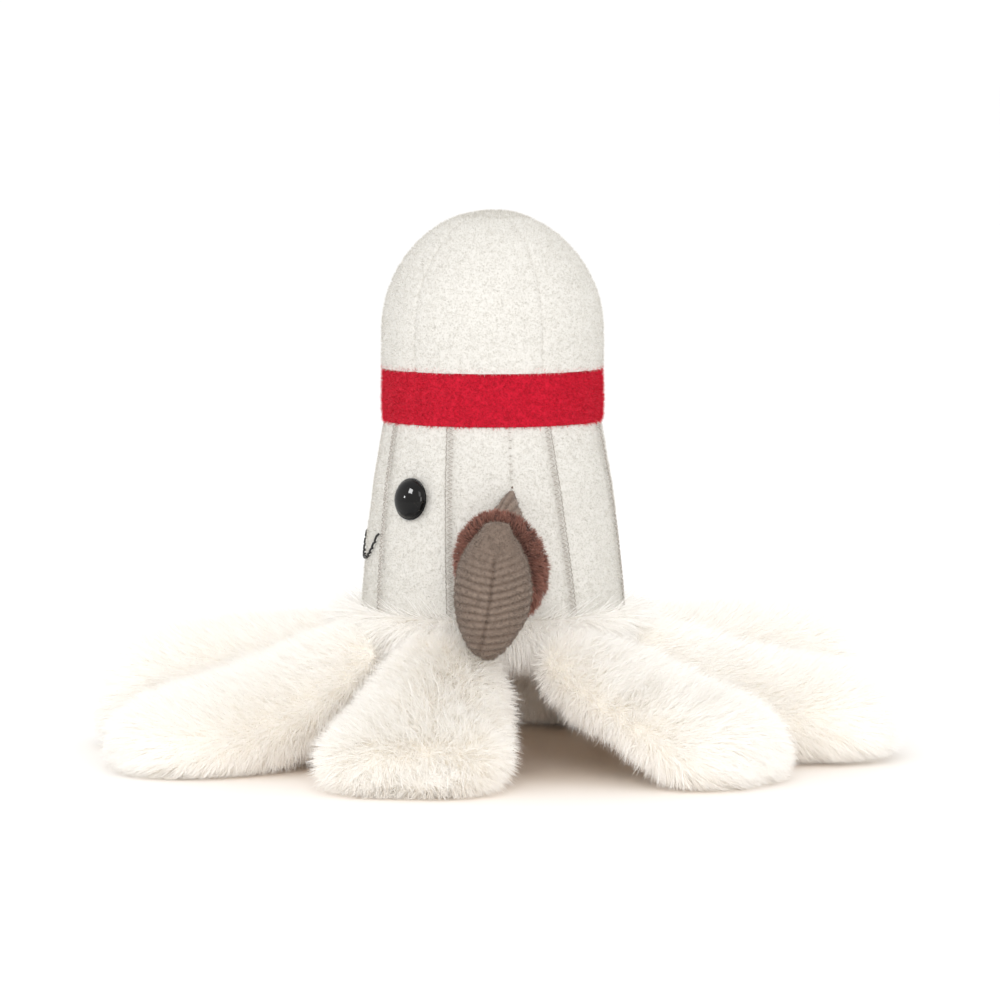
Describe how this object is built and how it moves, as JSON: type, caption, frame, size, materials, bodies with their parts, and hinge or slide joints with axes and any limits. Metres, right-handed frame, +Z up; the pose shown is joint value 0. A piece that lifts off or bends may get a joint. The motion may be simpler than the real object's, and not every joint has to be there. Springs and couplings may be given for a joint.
{
  "type": "plush shuttlecock toy",
  "caption": "Soft standing plush toy shaped like an upturned shuttlecock: domed cap, red band, stitched cone with a face, furry splayed feathers and short corduroy arms.",
  "frame": {"origin": "on the floor under the axis of the body, which is the middle of the bounding box", "axes": "+Z up along the body's axis, -Y the way the face looks, +X towards the toy's left arm"},
  "size_m": [0.2018, 0.2235, 0.1645],
  "materials": {
    "fleece": "short soft fleece pile, faintly speckled",
    "red_plush": "short dense red pile",
    "long_fur": "long silky off-white pile",
    "lining": "plain woven lining",
    "corduroy": "ribbed grey-brown corduroy with a soft nap",
    "brown_fur": "short brown pile",
    "stitching": "satin machine embroidery",
    "black_thread": "black embroidery thread",
    "eye_gloss": "polished black",
    "washer_plastic": "moulded, hidden inside",
    "stuffing": "fibre filling, hidden inside",
    "bean_cloth": "cotton pouch of pellets, hidden inside"
  },
  "bodies": {
    "body": {"cap_gore_1": "fleece", "cap_gore_2": "fleece", "cap_gore_3": "fleece", "cap_gore_4": "fleece", "cap_gore_5": "fleece", "red_band": "red_plush", "cone_front_panel": "fleece", "cone_back_panel": "fleece", "body_stuffing": "stuffing", "bean_pouch": "bean_cloth", "base_panel": "lining", "quill_stitch_1": "stitching", "quill_stitch_2": "stitching", "quill_stitch_3": "stitching", "quill_stitch_4": "stitching", "quill_stitch_5": "stitching", "quill_stitch_6": "stitching", "quill_stitch_7": "stitching", "quill_stitch_8": "stitching", "smile_stitch": "black_thread", "eye_left": "eye_gloss", "eye_right": "eye_gloss", "eye_washer_left": "washer_plastic", "eye_washer_right": "washer_plastic"},
    "feather_1": {"feather_1": "long_fur"},
    "feather_2": {"feather_2": "long_fur"},
    "feather_3": {"feather_3": "long_fur"},
    "feather_4": {"feather_4": "long_fur"},
    "feather_5": {"feather_5": "long_fur"},
    "feather_6": {"feather_6": "long_fur"},
    "feather_7": {"feather_7": "long_fur"},
    "feather_8": {"feather_8": "long_fur"},
    "arm_left": {"arm_left_sleeve": "corduroy"},
    "hand_left": {"arm_left_cuff": "brown_fur", "arm_left_mitten": "corduroy"},
    "arm_right": {"arm_right_sleeve": "corduroy"},
    "hand_right": {"arm_right_cuff": "brown_fur", "arm_right_mitten": "corduroy"}
  },
  "joints": [
    {"name": "feather_1_hinge", "type": "hinge", "parent": "body", "child": "feather_1", "pos_m": [0.01505, -0.03921, 0.044], "axis": [-0.9896, -0.1436, 0], "range_deg": [-12, 30], "stiffness_Nm_per_rad": 0.08, "springref_deg": -4.58},
    {"name": "feather_2_hinge", "type": "hinge", "parent": "body", "child": "feather_2", "pos_m": [0.03775, -0.01841, 0.044], "axis": [-0.3854, -0.9228, 0], "range_deg": [-12, 7], "stiffness_Nm_per_rad": 0.08, "springref_deg": -4.58},
    {"name": "feather_3_hinge", "type": "hinge", "parent": "body", "child": "feather_3", "pos_m": [0.03921, 0.01505, 0.044], "axis": [0.7124, -0.7017, 0], "range_deg": [-12, 10], "stiffness_Nm_per_rad": 0.08, "springref_deg": -4.58},
    {"name": "feather_4_hinge", "type": "hinge", "parent": "body", "child": "feather_4", "pos_m": [0.01641, 0.03866, 0.044], "axis": [0.9921, -0.1251, 0], "range_deg": [-12, 30], "stiffness_Nm_per_rad": 0.08, "springref_deg": -4.58},
    {"name": "feather_5_hinge", "type": "hinge", "parent": "body", "child": "feather_5", "pos_m": [-0.01641, 0.03866, 0.044], "axis": [0.9404, 0.3401, 0], "range_deg": [-12, 30], "stiffness_Nm_per_rad": 0.08, "springref_deg": -4.58},
    {"name": "feather_6_hinge", "type": "hinge", "parent": "body", "child": "feather_6", "pos_m": [-0.03921, 0.01505, 0.044], "axis": [0.4889, 0.8724, 0], "range_deg": [-12, 10], "stiffness_Nm_per_rad": 0.08, "springref_deg": -4.58},
    {"name": "feather_7_hinge", "type": "hinge", "parent": "body", "child": "feather_7", "pos_m": [-0.03775, -0.01841, 0.044], "axis": [-0.3589, 0.9334, 0], "range_deg": [-12, 7], "stiffness_Nm_per_rad": 0.08, "springref_deg": -4.58},
    {"name": "feather_8_hinge", "type": "hinge", "parent": "body", "child": "feather_8", "pos_m": [-0.01505, -0.03921, 0.044], "axis": [-0.9234, 0.3839, 0], "range_deg": [-12, 30], "stiffness_Nm_per_rad": 0.08, "springref_deg": -4.58},
    {"name": "arm_left_swing", "type": "hinge", "parent": "body", "child": "arm_left", "pos_m": [0.03898, 0, 0.068], "axis": [-0.1027, 0, 0.9947], "range_deg": [-12, 22], "stiffness_Nm_per_rad": 0.01},
    {"name": "hand_left_lift", "type": "hinge", "parent": "arm_left", "child": "hand_left", "pos_m": [0.0537, -0.0071, 0.0763], "axis": [-0.4718, -0.8817, 0], "range_deg": [0, 50]},
    {"name": "arm_right_swing", "type": "hinge", "parent": "body", "child": "arm_right", "pos_m": [-0.03898, 0, 0.068], "axis": [-0.1027, 0, -0.9947], "range_deg": [-12, 22], "stiffness_Nm_per_rad": 0.01},
    {"name": "hand_right_lift", "type": "hinge", "parent": "arm_right", "child": "hand_right", "pos_m": [-0.0537, -0.0071, 0.0763], "axis": [-0.4718, 0.8817, 0], "range_deg": [0, 50]}
  ]
}
